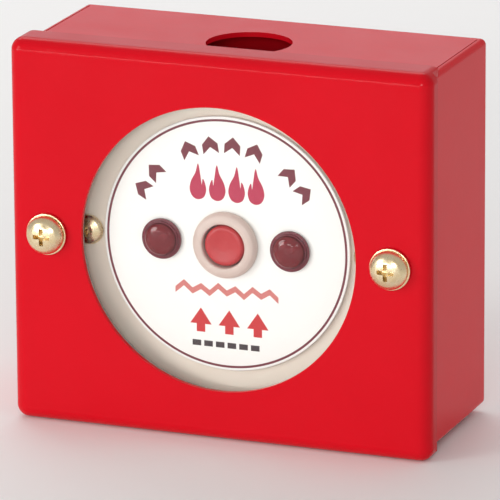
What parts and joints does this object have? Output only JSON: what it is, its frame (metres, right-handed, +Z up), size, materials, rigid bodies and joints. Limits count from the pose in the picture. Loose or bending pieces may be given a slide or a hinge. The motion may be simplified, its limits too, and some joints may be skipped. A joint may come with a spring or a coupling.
{
  "type": "manual call point",
  "caption": "Break-glass manual call point: a red sheet-steel box with a lift-off cover, a glass disc over a white fascia, a sprung push button and indicator lamps.",
  "frame": {"origin": "centre of the flat back face, where the box meets the wall", "axes": "+Z up, +Y into the wall, front facing -Y, +X to the right seen from the front"},
  "size_m": [0.107, 0.0497, 0.095],
  "materials": {
    "red_paint": "gloss powder coat",
    "white_paint": "satin paint",
    "label_white": "printed, satin",
    "yellow_zinc": "yellow passivated",
    "zinc": "zinc plated",
    "brass": "bright",
    "glass": "clear",
    "foam": "foam",
    "collar_grey": "satin moulded",
    "button_red": "satin moulded",
    "lamp_red": "glossy translucent",
    "switch_black": "moulded",
    "plunger_white": "moulded",
    "board_green": "solder mask",
    "terminal_green": "moulded",
    "resistor_tan": "lacquered",
    "wire_red": "insulation",
    "wire_black": "insulation"
  },
  "bodies": {
    "main": {"back_box": "red_paint", "fascia_plate": "white_paint", "label_disc": "label_white", "cover_pillar_left": "zinc", "cover_pillar_right": "zinc", "fascia_pillar_left": "zinc", "fascia_pillar_right": "zinc", "fascia_screw_left": "yellow_zinc", "fascia_screw_right": "yellow_zinc", "lamp_left": "lamp_red", "lamp_right": "lamp_red", "lamp_nut_left": "zinc", "lamp_nut_right": "zinc", "button_barrel": "collar_grey", "barrel_nut": "zinc", "switch_bracket": "zinc", "bracket_rivet_1": "zinc", "bracket_rivet_2": "zinc", "switch_body": "switch_black", "switch_screw_left": "zinc", "switch_screw_right": "zinc", "switch_nut_left": "zinc", "switch_nut_right": "zinc", "circuit_board": "board_green", "board_pillar_1": "zinc", "board_pillar_2": "zinc", "board_screw_1": "zinc", "board_screw_2": "zinc", "terminal_block": "terminal_green", "terminal_screw_1": "brass", "terminal_screw_2": "brass", "terminal_screw_3": "brass", "terminal_screw_4": "brass", "line_resistor": "resistor_tan", "lamp_wire_left": "wire_red", "lamp_wire_right": "wire_black", "switch_wire_left": "wire_red", "switch_wire_right": "wire_black", "earth_stud": "brass", "earth_nut": "brass", "button_spring": "zinc"},
    "cover": {"front_cover": "red_paint", "glass_disc": "glass", "glass_gasket": "foam", "glass_clip_1": "zinc", "glass_clip_2": "zinc", "glass_clip_3": "zinc", "glass_clip_4": "zinc", "clip_nut_1": "zinc", "clip_nut_2": "zinc", "clip_nut_3": "zinc", "clip_nut_4": "zinc"},
    "washer_left": {"cover_washer_left": "yellow_zinc"},
    "washer_right": {"cover_washer_right": "yellow_zinc"},
    "screw_left": {"cover_screw_left": "yellow_zinc"},
    "screw_right": {"cover_screw_right": "yellow_zinc"},
    "button": {"push_button": "button_red", "stem_clip": "zinc"},
    "plunger": {"switch_plunger": "plunger_white"}
  },
  "joints": [
    {"name": "cover_lift", "type": "slide", "parent": "main", "child": "cover", "axis": [0, -1, 0], "range_m": [0, 0.06]},
    {"name": "screw_travel_left", "type": "slide", "parent": "cover", "child": "washer_left", "axis": [0, -1, 0], "range_m": [0, 0.012]},
    {"name": "screw_turn_left", "type": "hinge", "parent": "washer_left", "child": "screw_left", "pos_m": [-0.0438, -0.0465, 0], "axis": [0, -1, 0], "range_deg": [0, 5400]},
    {"name": "screw_travel_right", "type": "slide", "parent": "cover", "child": "washer_right", "axis": [0, -1, 0], "range_m": [0, 0.012]},
    {"name": "screw_turn_right", "type": "hinge", "parent": "washer_right", "child": "screw_right", "pos_m": [0.0438, -0.0465, 0], "axis": [0, -1, 0], "range_deg": [0, 5400]},
    {"name": "button_press", "type": "slide", "parent": "main", "child": "button", "axis": [0, 1, 0], "range_m": [0, 0.003], "stiffness_N_per_m": 300, "springref_m": -0.004, "deforming": ["button_spring"]},
    {"name": "plunger_press", "type": "slide", "parent": "main", "child": "plunger", "axis": [0, 1, 0], "range_m": [0, 0.003]}
  ],
  "couplings": [
    {"joint": "screw_turn_left", "follows": "screw_travel_left", "rad_per_m": 7854},
    {"joint": "screw_turn_right", "follows": "screw_travel_right", "rad_per_m": 7854},
    {"joint": "plunger_press", "follows": "button_press", "ratio": 1}
  ]
}
